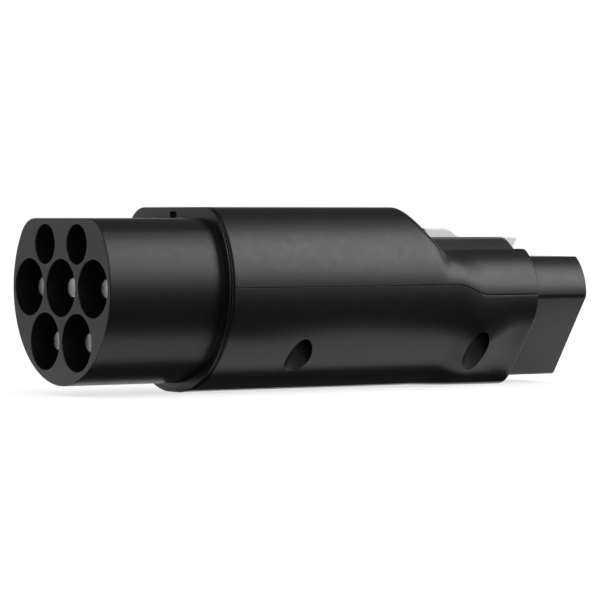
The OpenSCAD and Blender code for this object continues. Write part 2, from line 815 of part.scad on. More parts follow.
// Moulded plug: block beyond the neck, root inside it and chambers for the sleeves
module plug_body() {
    block_x = x_neck_end - 2;
    color("#1c1c1e")
        difference() {
            union() {
                along_x(block_x, x_tip - block_x) polygon(whole_section(x_neck_end, plug_inset));
                along_x(x_root, block_x - x_root + cut_over) flat_disc(root_r, root_top);
            }
            along_x(x_plug_rib - slip_gap, rib_w + 2 * slip_gap)
                difference() {
                    circle(2 * body_r);
                    flat_disc(root_r - rib_depth - slip_gap, root_top - rib_depth - slip_gap);
                }
            for (spot = [line_spot, neutral_spot, earth_spot]) {
                x_rod(x_root - cut_over, spot, sleeve_r + seat_gap, x_tip - sleeve_cover - x_root + cut_over);
                x_rod(x_root, spot, sleeve_bore_r + slip_gap, x_tip);
            }
            for (s = [-1, 1], z = signal_sleeve_heights) {
                x_rod(x_root - cut_over, [s * signal_sleeve_side, z], signal_sleeve_r + seat_gap,
                    x_tip - sleeve_cover - x_root + cut_over);
                x_rod(x_root, [s * signal_sleeve_side, z], signal_bore_r + slip_gap, x_tip);
            }
        }
}

module socket_retainer() {
    color("#3a3a3c")
        difference() {
            along_x(x_socket_plate, socket_plate_t) flat_disc(root_r - 1, root_top - 1);
            for (spot = [line_spot, neutral_spot, earth_spot])
                x_rod(x_socket_plate - cut_over, spot, sleeve_stem_r + seat_gap, 4 * cut_over);
            for (s = [-1, 1], z = signal_sleeve_heights)
                x_rod(x_socket_plate - cut_over, [s * signal_sleeve_side, z], signal_stem_r + seat_gap,
                    4 * cut_over);
        }
}

// Female contact: bored sleeve, solid back and tail through the retaining plate
module sleeve(spot, r, bore_r, bore_len, stem_r) {
    mouth = x_tip - sleeve_cover - seat_gap;
    difference() {
        union() {
            x_rod(x_root + seat_gap, spot, r, mouth - x_root - seat_gap);
            x_rod(x_sleeve_tail, spot, stem_r, x_root - x_sleeve_tail + 1);
        }
        x_rod(mouth - bore_len, spot, bore_r, bore_len + cut_over);
    }
}

module earth_sleeve() {
    color("#c8a860")
        sleeve(earth_spot, sleeve_r, sleeve_bore_r, sleeve_len, sleeve_stem_r);
}

module neutral_sleeve() {
    color("#c8a860")
        sleeve(neutral_spot, sleeve_r, sleeve_bore_r, sleeve_len, sleeve_stem_r);
}

module line_sleeve() {
    color("#c8a860")
        sleeve(line_spot, sleeve_r, sleeve_bore_r, sleeve_len, sleeve_stem_r);
}

module signal_sleeves() {
    color("#c8a860")
        for (s = [-1, 1], z = signal_sleeve_heights)
            sleeve([s * signal_sleeve_side, z], signal_sleeve_r, signal_bore_r, signal_sleeve_len,
                signal_stem_r);
}

// Side view of the lever: pad, curved slope, arm and hook
module lever_profile() {
    slope = [for (i = [0:8]) [pad_back + pad_slope_len * i / 8, mix(pad_top, arm_top, ease(0, 8, i))]];
    hook_bottom = arm_bottom - hook_h;
    hook_x = tip_x - tip_lean * (arm_top - hook_bottom);
    polygon(concat([[pad_front, pad_bottom], [pad_front, pad_top]], slope,
        [[tip_x, arm_top], [hook_x, hook_bottom], [hook_x - 1.6, hook_bottom], [hook_x - 2, arm_bottom]]));
}

module latch_lever() {
    color("#cfcfcf")
        difference() {
            union() {
                across_y(lever_w / 2) lever_profile();
                translate([hinge_x - hub_neck / 2, -lever_w / 2, hinge_z])
                    cube([hub_neck, lever_w, arm_bottom - hinge_z + cut_over]);
                translate([hinge_x, lever_w / 2, hinge_z])
                    rotate([90, 0, 0])
                        cylinder(r = hub_r, h = lever_w);
            }
            translate([hinge_x, lever_w, hinge_z])
                rotate([90, 0, 0])
                    cylinder(r = hinge_r + hinge_gap, h = 2 * lever_w);
        }
}

module latch_pin() {
    half = latch_block_half_w - 0.4;
    color("#a8a8aa")
        translate([hinge_x, half, hinge_z])
            rotate([90, 0, 0])
                cylinder(r = hinge_r, h = 2 * half);
}

module latch_spring() {
    coil_r = spring_r - spring_wire_r;
    z0 = pocket_floor + spring_wire_r + seat_gap;
    z1 = pad_bottom - spring_wire_r - seat_gap;
    steps = spring_turns * 12;
    color("#b0b0b4")
        sweep([for (i = [0:steps]) let (a = 30 * i)
            [spring_x + coil_r * cos(a), coil_r * sin(a), mix(z0, z1, i / steps)]],
            spring_wire_r, [0, 0, 1], 6);
}

inlet_body();
inlet_gasket();
earth_pin();
neutral_pin();
line_1_pin();
line_2_pin();
line_3_pin();
pilot_pin();
proximity_pin();
pin_retainer();
retainer_screws();
upper_shell();
lower_shell();
housing_screws();
control_board();
board_screws();
relay();
board_parts();
board_header();
earth_wire();
neutral_wire();
line_wire();
switched_wire();
pilot_wire();
proximity_wire();
signal_loom();
plug_body();
socket_retainer();
earth_sleeve();
neutral_sleeve();
line_sleeve();
signal_sleeves();
latch_lever();
latch_pin();
latch_spring();
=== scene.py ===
"""Looks of the charging adapter. Sizes are in millimetres until a mesh is made from them, and
angles are in degrees until they are used."""

import math

import bmesh
import bpy
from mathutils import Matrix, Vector


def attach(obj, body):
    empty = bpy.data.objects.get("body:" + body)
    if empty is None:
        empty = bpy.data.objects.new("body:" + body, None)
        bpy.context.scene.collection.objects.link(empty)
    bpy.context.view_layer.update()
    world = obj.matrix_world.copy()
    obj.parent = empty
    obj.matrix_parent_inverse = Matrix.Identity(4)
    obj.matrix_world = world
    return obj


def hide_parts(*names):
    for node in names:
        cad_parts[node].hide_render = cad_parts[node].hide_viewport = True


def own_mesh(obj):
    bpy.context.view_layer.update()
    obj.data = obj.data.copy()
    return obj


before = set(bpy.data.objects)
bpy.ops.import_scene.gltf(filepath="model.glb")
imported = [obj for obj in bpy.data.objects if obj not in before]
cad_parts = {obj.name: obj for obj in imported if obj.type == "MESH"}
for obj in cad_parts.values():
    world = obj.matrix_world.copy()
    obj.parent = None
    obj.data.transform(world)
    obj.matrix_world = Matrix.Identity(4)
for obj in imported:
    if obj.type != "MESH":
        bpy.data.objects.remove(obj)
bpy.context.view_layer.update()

MM = 0.001

# A turned profile ends this close to its axis
AXIS_R = 0.01

# Edges sharper than these are rounded by a bevel, and keep a crease in the shading
BEVEL_ANGLE, CREASE_ANGLE = 28, 30

# Stations along the adapter, from the inlet face to the plug tip
X_FLANGE = 35
X_GASKET = 36.2
X_SHELL = 36.6
X_SPIGOT_END = 46.2
X_TAIL = 50
X_SHOULDER = 96
X_SHOULDER_END = 108
X_ROOT = 129.2
X_NECK_END = 137.6
X_TIP = 156.3

# Inlet nose and its flange
NOSE_R, NOSE_FLAT, NOSE_CORNER = 26.15, 18.5, 8.5
NOSE_STATIONS = (8, 16, 24)
FLANGE_R, FLANGE_FACE_ROOT, FLANGE_RIM, FLANGE_BACK_DROP = 28.88, 0.1, 0.28, 1.1
SPIGOT_INSET, SPIGOT_WALL, SPIGOT_INSIDE_CORNER = 2.35, 3.9, 2
NOTCH_W, NOTCH_H, NOTCH_DEPTH = 3.4, 1.8, 1.05
RIM_ROUND, MOUTH_ROUND, FLANGE_EDGE_ROUND = 0.35, 0.22, 0.2
WELL_DEPTH = 33
WELL_R, SIGNAL_WELL_R = 7.7, 5.33
PITCH, LOW_ROW, SIGNAL_ROW = 17, -14.4, 11.6

# Contacts: node, place across the inlet, setback, radius, tip round, shoulder radius, stem radius
PINS = [
    ("earth_pin", (0, 0), 3.5, 3, 0.9, 4.2, 2.2),
    ("neutral_pin", (-PITCH, 0), 4, 3, 0.9, 4.2, 2.2),
    ("line_1_pin", (PITCH, 0), 4, 3, 0.9, 4.2, 2.2),
    ("line_2_pin", (PITCH / 2, LOW_ROW), 4, 3, 0.9, 4.2, 2.2),
    ("line_3_pin", (-PITCH / 2, LOW_ROW), 4, 3, 0.9, 4.2, 2.2),
    ("pilot_pin", (PITCH / 2, SIGNAL_ROW), 9, 1.5, 0.5, 2.4, 0.7),
    ("proximity_pin", (-PITCH / 2, SIGNAL_ROW), 9, 1.5, 0.5, 2.4, 0.7),
]
SIGNAL_PINS = ("pilot_pin", "proximity_pin")

# Each contact has a waist in the nose's wall and a shoulder behind it
WAIST_START, WAIST_INSET = WELL_DEPTH - 0.1, 0.2
SHOULDER_START, SHOULDER_END = X_GASKET + 0.05, X_GASKET + 1.45

# Housing section: barrel, neck and what blends between them
BODY_R, BODY_FLAT, BODY_CORNER, BODY_FOOT_R = 28.65, 21.45, 9, 28
NECK_TOP, NECK_CORNER, NECK_CORNER_SIDE, SEAM_DROP = 9.8, 3, 21.25, 2.95
CROWN = (102, 113.5)
SEAM = (110, 120.6)
KEEL = (113.6, 135)
BARREL_STATIONS = (56, 76)
NECK_STEPS = 84
WALL, EDGE_ROUND, SEAM_ROUND, SEAM_GAP = 2, 0.4, 0.09, 0.05

# Sections of the neck's lower half: crease radius, foot radius and slope of the side
NECK_SKIN = (15, 7, 37.5)
NECK_INSIDE = (8, 7, 34.2)

# Change of the foot's radius with the height of the parting line
FOOT_TAPER = 2.5

# Points along the arcs of a section
SIDE_STEPS, CORNER_STEPS, CREASE_STEPS, FOOT_STEPS = 36, 12, 18, 26
NOSE_SIDE_STEPS, NOSE_CORNER_STEPS = 60, 14

# Screws: x, height of the parting line there, x and side of the well that leads to it
SCREW_ROWS = [(61.2, 0, 61.6, 21.1), (120, -SEAM_DROP, 120, 22.6)]
SCREW_SIDE = 21.9
WELL_TUBE_R, SCREW_WELL_R, SCREW_HOLE_R, SCREW_FLOOR = 5.35, 3.85, 1.7, 3.1
CORE_REACH, CORE_STEPS = 7, 12

# How far a cutter runs past what it cuts
CUT_OVER = 1

# Latch: deck, ledge, channel and lever
DECK_START, DECK_HALF_W, DECK_TOP, DECK_END = X_SHOULDER + 7.5, 17.3, 13.05, 3.3
DECK_ROOT, DECK_SINK = NECK_TOP - 1.2, 0.1
DECK_CORNER_ROUND, DECK_EDGE_ROUND = 4, 0.5
LEDGE_START, LEDGE_HALF_W, LEDGE_TOP = X_SHOULDER + 5, 6.8, 15.6
POCKET_HALF_W, POCKET_FRONT, POCKET_BACK, POCKET_FLOOR = 5.3, 114, 125.6, 3.4
POCKET_WALL, BLOCK_WALL, BLOCK_TOP = 1.2, 3.3, DECK_TOP - 2
CHANNEL_FLOOR = 9.4
HINGE_X, HINGE_Z, HINGE_R, HUB_R = 123, 6.2, 1, 2.2
LEVER_HALF_W, PAD_FRONT, PAD_LEN, PAD_SLOPE, PAD_TOP = 5, 115.3, 6.8, 6.2, 15.55
ARM_BOTTOM, HOOK_BOTTOM, LEVER_TIP, TIP_LEAN = 10.25, 8.55, 148.1, 0.62
HOOK_FOOT, HOOK_ROOT, HINGE_NECK, HINGE_PLAY = 1.6, 2, 1.8, 0.05
LEVER_EDGE_ROUND, SLOPE_STEPS = 0.45, 14
SPRING_X, SPRING_R, SPRING_WIRE_R, SPRING_SEAT, SPRING_PRESSED = 118, 2.1, 0.3, 0.05, 0.85
SPRING_TURNS, SPRING_STEPS, SPRING_SIDES = 6, 24, 12

# Plug, whose root is thinner up to the step
PLUG_INSET, PLUG_ROOT_INSET, PLUG_TIP_ROUND = 2.3, 3.5, 0.2
PLUG_STEP = X_NECK_END - 2
PLUG_STATIONS = (PLUG_STEP, 142, 148)

# Section of the plug's lower half, as the neck's are given
PLUG_SECTION = (PLUG_INSET + 2.6, PLUG_INSET + 1.6, 34.2)

# Sockets: place across the plug, hole radius, chamber radius
SOCKETS = [((11, -3), 2.8, 3.55), ((-11, -3), 2.8, 3.55), ((0, -17), 2.8, 3.55)] + [
    ((side, z), 1.1, 1.35) for side in (-3.2, 3.2) for z in (0, -6.5)
]
SOCKET_COVER, SOCKET_OVERLAP = 0.8, 0.1

# Studio: the camera's place is in metres, and brightness is a share of white
CAMERA_PLACE = (-0.4460, -0.7908, 0.0195)
CAMERA_WAY = (0.5510, 0.8345, 0)
CAMERA_LENS, CAMERA_SENSOR, CAMERA_RISE = 204.83, 36, -0.1428
FLOOR_Z, FLOOR_HALF = -28.7, 6000
FLOOR_GLOW, FLOOR_SHADE = 0.72, 0.4
ROOM_LIGHT = 0.8
LAMP_AIM = (70, 0, 0)

# Cards: height of those that lie, their ends along the adapter, their near edge, and the foot and
# top of those that stand
CARD_Z, CARD_FRONT, CARD_BACK, CARD_NEAR = -28, -900, 2400, -900
CARD_STAND = (-27, 420)


def mix(a, b, t):
    return a + (b - a) * t


def ease(span, x):
    t = min(1, max(0, (x - span[0]) / (span[1] - span[0])))
    return t * t * (3 - 2 * t)


def arc(cy, cz, r, start, end, steps):
    """Points of an arc, with its angles counted from the first axis towards the second."""
    turns = [math.radians(mix(start, end, i / steps)) for i in range(steps + 1)]
    return [(cy + r * math.cos(a), cz + r * math.sin(a)) for a in turns]


def circle(cy, cz, r, sides):
    return arc(cy, cz, r, 0, 360 - 360 / sides, sides - 1)


def mirrored(points):
    return [(-y, z) for y, z in reversed(points)]


def seam_z(x):
    return -SEAM_DROP * ease(SEAM, x)


def rounding(r, steps=6):
    """Quarter round from a skin to an end face: distance from the face and distance in from the skin."""
    turns = [math.radians(90 * i / steps) for i in range(steps + 1)]
    return [(r * (1 - math.sin(a)), r * (1 - math.cos(a))) for a in turns]


def seam_lip(y, z, side):
    """Small round where a shell's skin turns in to the parting line. Side is 1 above it and -1 below."""
    turn_in = reversed(rounding(SEAM_ROUND, 4)[1:])
    return [(y - out, z + side * (SEAM_GAP + away)) for away, out in turn_in]


def upper_half(x, inset, lipped):
    """Right half of the upper shell's section, from the parting line up to the top flat."""
    shoulder = ease((X_SHOULDER, X_SHOULDER_END), x)
    top, corner = mix(BODY_FLAT, NECK_TOP, shoulder), mix(BODY_CORNER, NECK_CORNER, shoulder)
    z0, cz = seam_z(x), top - corner
    rise = cz - z0
    cy = mix(math.sqrt((BODY_R - corner) ** 2 - rise ** 2), NECK_CORNER_SIDE, ease(CROWN, x))
    span = BODY_R - cy
    side_r = (span ** 2 + rise ** 2 - corner ** 2) / (2 * (span - corner))
    side_y = BODY_R - side_r
    turn = math.degrees(math.atan2(rise, cy - side_y))
    start = math.degrees(math.asin((SEAM_GAP + (SEAM_ROUND if lipped else 0)) / (side_r - inset)))
    side = arc(side_y, z0, side_r - inset, start, turn, SIDE_STEPS)
    lip = seam_lip(side[0][0], z0, 1) if lipped else []
    return lip + side + arc(cy, cz, corner - inset, turn, 90, CORNER_STEPS)[1:]


def lower_half(x, inset, lipped, section=None):
    """Right half of the lower shell's section, from the parting line down to the bottom."""
    z0, keel = seam_z(x), ease(KEEL, x)
    neck_crease_r, neck_foot_r, degrees = NECK_SKIN if lipped else NECK_INSIDE
    crease_r = mix(BODY_R, neck_crease_r, keel)
    foot_r = mix(BODY_FOOT_R + FOOT_TAPER * z0, neck_foot_r, keel)
    if section:
        crease_r, foot_r, degrees = section
    foot_z, slope = foot_r - BODY_R, math.radians(degrees)
    reach = (BODY_R - crease_r) * math.cos(slope) - z0 * math.sin(slope) + crease_r
    foot_y = (reach + foot_z * math.sin(slope) - foot_r) / math.cos(slope)
    start = math.degrees(math.asin((SEAM_GAP + (SEAM_ROUND if lipped else 0)) / (crease_r - inset)))
    side = arc(BODY_R - crease_r, z0, crease_r - inset, -start, -degrees, CREASE_STEPS)
    lip = seam_lip(side[0][0], z0, -1) if lipped else []
    return lip + side + arc(foot_y, foot_z, foot_r - inset, -degrees, -90, FOOT_STEPS)[1:]


def d_ring(r, flat, corner):
    """Round outline with a flat top and rounded corners beside it."""
    cy, cz = math.sqrt((r - corner) ** 2 - (flat - corner) ** 2), flat - corner
    turn = math.degrees(math.atan2(cz, cy))
    side = arc(0, 0, r, -90, turn, NOSE_SIDE_STEPS)[1:]
    right = side + arc(cy, cz, corner, turn, 90, NOSE_CORNER_STEPS)[1:]
    return right + mirrored(right) + [(0, -r)]


def nose_ring(out):
    return d_ring(NOSE_R + out, NOSE_FLAT + out, NOSE_CORNER + out)


def flange_ring(inset):
    ring = d_ring(FLANGE_R - inset, BODY_FLAT - inset, BODY_CORNER - inset)
    return [(y, max(z, inset - BODY_R)) for y, z in ring]


def placed(x, ring):
    return [(x, y, z) for y, z in ring]


def rectangle(across_x, up_z):
    (x0, x1), (z0, z1) = across_x, up_z
    return [(x0, z0), (x1, z0), (x1, z1), (x0, z1)]


def mesh_of(name, points, faces):
    """Object with its faces outwards, from points in the row frame."""
    mesh = bpy.data.meshes.new(name)
    mesh.from_pydata([Vector(p) * MM for p in points], [], faces)
    shape = bmesh.new()
    shape.from_mesh(mesh)
    bmesh.ops.recalc_face_normals(shape, faces=shape.faces)
    if shape.calc_volume(signed=True) < 0:
        bmesh.ops.reverse_faces(shape, faces=shape.faces)
    shape.to_mesh(mesh)
    shape.free()
    made = bpy.data.objects.new(name, mesh)
    bpy.context.scene.collection.objects.link(made)
    return made


def loft(name, rings):
    """Closed solid through rings of equal length, given as points in the row frame."""
    count = len(rings[0])
    faces = [
        (i * count + j, i * count + (j + 1) % count, (i + 1) * count + (j + 1) % count, (i + 1) * count + j)
        for i in range(len(rings) - 1)
        for j in range(count)
    ]
    last = (len(rings) - 1) * count
    faces += [tuple(range(count)), tuple(range(last, last + count))]
    return mesh_of(name, [p for ring in rings for p in ring], faces)


def turned(name, spot, profile, sides=96):
    """Solid turned about a line along the adapter. The profile's points are x and radius."""
    return loft(name, [placed(x, circle(*spot, r, sides)) for x, r in profile])


def upright(name, x, y, profile, sides=72):
    """Solid turned about a vertical line. The profile's points are height and radius."""
    return loft(name, [[(*spot, z) for spot in circle(x, y, r, sides)] for z, r in profile])


def across(name, profile, half_w):
    """Solid with a side view of x and height points, and the same on both sides of the middle."""
    return loft(name, [[(x, y, z) for x, z in profile] for y in (-half_w, half_w)])


def bake(made):
    """Applies an object's modifiers to its mesh."""
    bpy.context.view_layer.update()
    old = made.data
    made.data = bpy.data.meshes.new_from_object(made.evaluated_get(bpy.context.evaluated_depsgraph_get()))
    made.modifiers.clear()
    bpy.data.meshes.remove(old)


def combine(made, other, operation):
    """Boolean with another solid, which is used up."""
    step = made.modifiers.new("combine", "BOOLEAN")
    step.operation, step.solver, step.object = operation, "MANIFOLD", other
    bake(made)
    bpy.data.meshes.remove(other.data)


def soften(made, width, segments=4):
    """Rounds the edges of a simple solid."""
    step = made.modifiers.new("soften", "BEVEL")
    step.width, step.segments = width * MM, segments
    step.limit_method, step.angle_limit = "ANGLE", math.radians(BEVEL_ANGLE)
    bake(made)


def stand_for(made, body, slot, look, *nodes):
    """Dresses a finished piece, smooths it and puts it in the place of its CAD nodes."""
    for face in made.data.polygons:
        face.use_smooth = True
    made.data.set_sharp_from_angle(angle=math.radians(CREASE_ANGLE))
    shading = made.modifiers.new("shading", "WEIGHTED_NORMAL")
    shading.keep_sharp = True
    made.data.materials.clear()
    made.data.materials.append(look)
    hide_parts(*nodes)
    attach(made, body)


# Node materials

# Spans of a noise's values that are spread over a roughness and over a change of colour
NOISE_SPAN, COLOUR_SPAN = (0.3, 0.7), (0.35, 0.65)


class Look:
    """A procedural material. Its nodes read the piece's own place, in metres."""

    def __init__(self, name, **shader):
        self.material = bpy.data.materials.new(name)
        self.material.use_nodes = True
        self.nodes = self.material.node_tree.nodes
        self.links = self.material.node_tree.links
        self.shader = self.nodes["Principled BSDF"]
        for socket, value in shader.items():
            self.shader.inputs[socket.replace("_", " ")].default_value = value
        self.place = self.nodes.new("ShaderNodeTexCoord").outputs["Object"]

    def noise(self, scale, detail=2, stretch=(1, 1, 1)):
        mapping = self.nodes.new("ShaderNodeMapping")
        mapping.inputs["Scale"].default_value = stretch
        self.links.new(self.place, mapping.inputs["Vector"])
        made = self.nodes.new("ShaderNodeTexNoise")
        made.inputs["Scale"].default_value = scale
        made.inputs["Detail"].default_value = detail
        self.links.new(mapping.outputs["Vector"], made.inputs["Vector"])
        return made.outputs["Fac"]

    def cells(self, scale):
        made = self.nodes.new("ShaderNodeTexVoronoi")
        made.inputs["Scale"].default_value = scale
        self.links.new(self.place, made.inputs["Vector"])
        return made.outputs["Distance"]

    def ranged(self, value, low, high):
        made = self.nodes.new("ShaderNodeMapRange")
        made.inputs["From Min"].default_value = NOISE_SPAN[0]
        made.inputs["From Max"].default_value = NOISE_SPAN[1]
        made.inputs["To Min"].default_value = low
        made.inputs["To Max"].default_value = high
        self.links.new(value, made.inputs["Value"])
        return made.outputs["Result"]

    def colour(self, value, dark, light):
        made = self.nodes.new("ShaderNodeValToRGB")
        for end, place, shade in zip(made.color_ramp.elements, COLOUR_SPAN, (dark, light)):
            end.position, end.color = place, (*shade, 1)
        self.links.new(value, made.inputs["Fac"])
        self.links.new(made.outputs["Color"], self.shader.inputs["Base Color"])

    def roughness(self, value, low, high):
        self.links.new(self.ranged(value, low, high), self.shader.inputs["Roughness"])

    def bump(self, value, height, strength=1):
        made = self.nodes.new("ShaderNodeBump")
        made.inputs["Distance"].default_value = height * MM
        made.inputs["Strength"].default_value = strength
        self.links.new(value, made.inputs["Height"])
        self.links.new(made.outputs["Normal"], self.shader.inputs["Normal"])


def moulded(name, shade, spread=0.08, rough=(0.36, 0.41), grain=0.006, shine=0.5):
    """Moulded plastic: fine spark grain, slow changes of gloss and a little change of colour."""
    look = Look(name, Specular_IOR_Level=shine)
    look.colour(look.noise(90, 3), [c * (1 - spread) for c in shade], [c * (1 + spread) for c in shade])
    look.roughness(look.noise(420, 4), *rough)
    look.bump(look.noise(5200, 3), grain, 0.6)
    return look.material


def metal(name, shade, rough, lathe_marks=0.0015):
    """Turned or drawn metal: fine marks round its axis and faint stains."""
    look = Look(name, Metallic=1)
    look.colour(look.noise(260, 3), [c * 0.9 for c in shade], shade)
    look.roughness(look.noise(900, 3), *rough)
    look.bump(look.noise(700, 2, (9, 0.4, 0.4)), lathe_marks, 0.5)
    return look.material


def laminate(name):
    """Circuit board: solder mask over woven glass."""
    look = Look(name, Specular_IOR_Level=0.5)
    look.colour(look.cells(420), (0.004, 0.06, 0.022), (0.012, 0.12, 0.045))
    look.roughness(look.noise(600), 0.25, 0.4)
    look.bump(look.noise(2600, 2, (1, 0.2, 1)), 0.02)
    return look.material


def insulation(name, shade):
    """Wire insulation: extruded, so its marks run along it."""
    look = Look(name, Specular_IOR_Level=0.5)
    look.colour(look.noise(150, 2, (0.3, 1, 1)), [c * 0.8 for c in shade], shade)
    look.roughness(look.noise(500, 3), 0.35, 0.5)
    look.bump(look.noise(1500, 2, (0.1, 1, 1)), 0.01)
    return look.material


housing_black = moulded("housing_black", (0.0042, 0.0042, 0.0044))
nose_black = moulded("nose_black", (0.0055, 0.0055, 0.0057), rough=(0.35, 0.4), shine=0.42)
plug_black = moulded("plug_black", (0.0050, 0.0050, 0.0052), rough=(0.36, 0.42))
inner_black = moulded("inner_black", (0.035, 0.035, 0.037), rough=(0.45, 0.6))
seal_black = moulded("seal_black", (0.006, 0.006, 0.006), rough=(0.6, 0.75), grain=0.012)
lever_grey = moulded("lever_grey", (0.78, 0.78, 0.77), spread=0.03, rough=(0.4, 0.5), grain=0.004)
header_white = moulded("header_white", (0.6, 0.57, 0.46), spread=0.05, rough=(0.4, 0.55))
relay_blue = moulded("relay_blue", (0.02, 0.06, 0.17), spread=0.08, rough=(0.3, 0.4))
chip_black = moulded("chip_black", (0.018, 0.018, 0.019), rough=(0.5, 0.62), grain=0.01)
contact_silver = metal("contact_silver", (0.4, 0.395, 0.38), (0.24, 0.32))
sleeve_brass = metal("sleeve_brass", (0.72, 0.53, 0.26), (0.22, 0.34))
screw_steel = metal("screw_steel", (0.42, 0.42, 0.43), (0.3, 0.42))
spring_steel = metal("spring_steel", (0.55, 0.55, 0.56), (0.25, 0.36))

CAD_LOOKS = {
    "inlet_gasket": seal_black,
    "pin_retainer": inner_black,
    "retainer_screws": screw_steel,
    "housing_screws": screw_steel,
    "control_board": laminate("board_green"),
    "board_screws": screw_steel,
    "relay": relay_blue,
    "board_parts": chip_black,
    "board_header": header_white,
    "earth_wire": insulation("earth_green", (0.12, 0.3, 0.05)),
    "neutral_wire": insulation("neutral_blue", (0.04, 0.13, 0.42)),
    "line_wire": insulation("line_brown", (0.19, 0.07, 0.025)),
    "switched_wire": insulation("switched_brown", (0.19, 0.07, 0.025)),
    "pilot_wire": insulation("pilot_yellow", (0.6, 0.48, 0.05)),
    "proximity_wire": insulation("proximity_white", (0.66, 0.66, 0.66)),
    "signal_loom": insulation("loom_red", (0.42, 0.04, 0.045)),
    "socket_retainer": inner_black,
    "earth_sleeve": sleeve_brass,
    "neutral_sleeve": sleeve_brass,
    "line_sleeve": sleeve_brass,
    "signal_sleeves": sleeve_brass,
    "latch_pin": spring_steel,
}


def dress_cad_nodes():
    for node, look in CAD_LOOKS.items():
        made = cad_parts[node]
        if not made.material_slots:
            made.data.materials.append(look)
        for place in made.material_slots:
            place.material = look


# Inlet


def cutter(spot, r, mouth_x, end_x):
    """Round cutter from a mouth to an end, with a small round cut at the mouth."""
    way = 1 if end_x > mouth_x else -1
    mouth = [(mouth_x + way * along, r + out) for along, out in reversed(rounding(MOUTH_ROUND))]
    start_x = mouth_x - way * CUT_OVER
    start = [(start_x, AXIS_R), (start_x, r + MOUTH_ROUND)]
    return turned("cutter", spot, [*start, *mouth, (end_x, r), (end_x, AXIS_R)])


def make_inlet_body():
    """Nose with its seven wells, root, flange and the spigot that enters the housing."""
    rim = [placed(along, nose_ring(-out)) for along, out in reversed(rounding(RIM_ROUND))]
    side = [placed(x, nose_ring(0)) for x in NOSE_STATIONS]
    root = [placed(X_FLANGE - along, nose_ring(out)) for along, out in rounding(FLANGE_FACE_ROOT)]
    edge = rounding(FLANGE_EDGE_ROUND, 4)
    front_edge = [placed(X_FLANGE + along, flange_ring(out)) for along, out in reversed(edge)]
    back_edge = [
        placed(x, flange_ring(inset))
        for x, inset in ((X_FLANGE + FLANGE_RIM, 0), (X_GASKET, FLANGE_BACK_DROP))
    ]
    spigot_ring = d_ring(BODY_R - SPIGOT_INSET, BODY_FLAT - SPIGOT_INSET, BODY_CORNER - SPIGOT_INSET)
    spigot = [placed(x, spigot_ring) for x in (X_GASKET, X_SPIGOT_END)]
    inside = SPIGOT_INSET + SPIGOT_WALL
    hollow_ring = d_ring(BODY_R - inside, BODY_FLAT - inside, SPIGOT_INSIDE_CORNER)
    hollow = [placed(x, hollow_ring) for x in (X_SPIGOT_END, X_GASKET)]
    body = loft("inlet_nose", rim + side + root + front_edge + back_edge + spigot + hollow)
    for node, spot, *_ in PINS:
        well_r = SIGNAL_WELL_R if node in SIGNAL_PINS else WELL_R
        combine(body, cutter(spot, well_r, 0, WELL_DEPTH), "DIFFERENCE")
    notch_x = (X_FLANGE - CUT_OVER, X_FLANGE + NOTCH_DEPTH)
    notch = across("notch", rectangle(notch_x, (NOSE_FLAT, NOSE_FLAT + NOTCH_H)), NOTCH_W / 2)
    combine(body, notch, "DIFFERENCE")
    stand_for(body, "housing", "nose_plastic", nose_black, "inlet_body")


def make_pins():
    """Turned contacts with rounded tips, shoulders and tails."""
    for node, spot, setback, r, tip, shoulder_r, stem_r in PINS:
        nose = [(setback + along, r - out) for along, out in reversed(rounding(tip, 8))]
        profile = [
            (setback, AXIS_R),
            *nose,
            (WAIST_START, r),
            (WAIST_START, r - WAIST_INSET),
            (SHOULDER_START, r - WAIST_INSET),
            (SHOULDER_START, shoulder_r),
            (SHOULDER_END, shoulder_r),
            (SHOULDER_END, stem_r),
            (X_TAIL, stem_r),
            (X_TAIL, AXIS_R),
        ]
        pin = turned(node + "_turned", spot, profile, 64)
        stand_for(pin, "housing", "contact_silver", contact_silver, node)


# Housing


def shell_stations():
    """Stations along the housing, with how far each is rounded in at the two ends."""
    front = [(X_SHELL + along, out) for along, out in reversed(rounding(EDGE_ROUND, 5))]
    neck_step = (X_NECK_END - EDGE_ROUND - X_SHOULDER) / NECK_STEPS
    neck = [(X_SHOULDER + i * neck_step, 0) for i in range(NECK_STEPS)]
    back = [(X_NECK_END - along, out) for along, out in rounding(EDGE_ROUND, 5)]
    return front + [(x, 0) for x in BARREL_STATIONS] + neck + back


def shell(name, half):
    """One shell of the housing, from its section's right half."""
    rings = []
    for x, inset in shell_stations():
        outer, inner = half(x, inset, True), half(x, WALL, False)
        rings.append(placed(x, outer + mirrored(outer) + list(reversed(inner + mirrored(inner)))))
    return loft(name, rings)


def core(x_ends, inset):
    """Solid inside the lower skin, which trims what stands in the shell."""
    rings = []
    for i in range(CORE_STEPS + 1):
        x = mix(*x_ends, i / CORE_STEPS)
        half = lower_half(x, inset, False)
        rings.append(placed(x, half + mirrored(half)))
    return loft("core", rings)


def deck_profile():
    """Side view of the raised deck, with a slanted and rounded rear end."""
    rear, slant_foot = X_NECK_END - DECK_END, NECK_TOP - DECK_SINK
    slant = math.degrees(math.atan2(DECK_TOP - slant_foot, DECK_END))
    r = DECK_CORNER_ROUND
    reach = r * math.tan(math.radians(slant / 2))
    corner = arc(rear - reach, DECK_TOP - r, r, 90, 90 - slant, 6)
    end = [(X_NECK_END, slant_foot), (X_NECK_END, DECK_ROOT)]
    return [(DECK_START, DECK_ROOT), (DECK_START, DECK_TOP), *corner, *end]


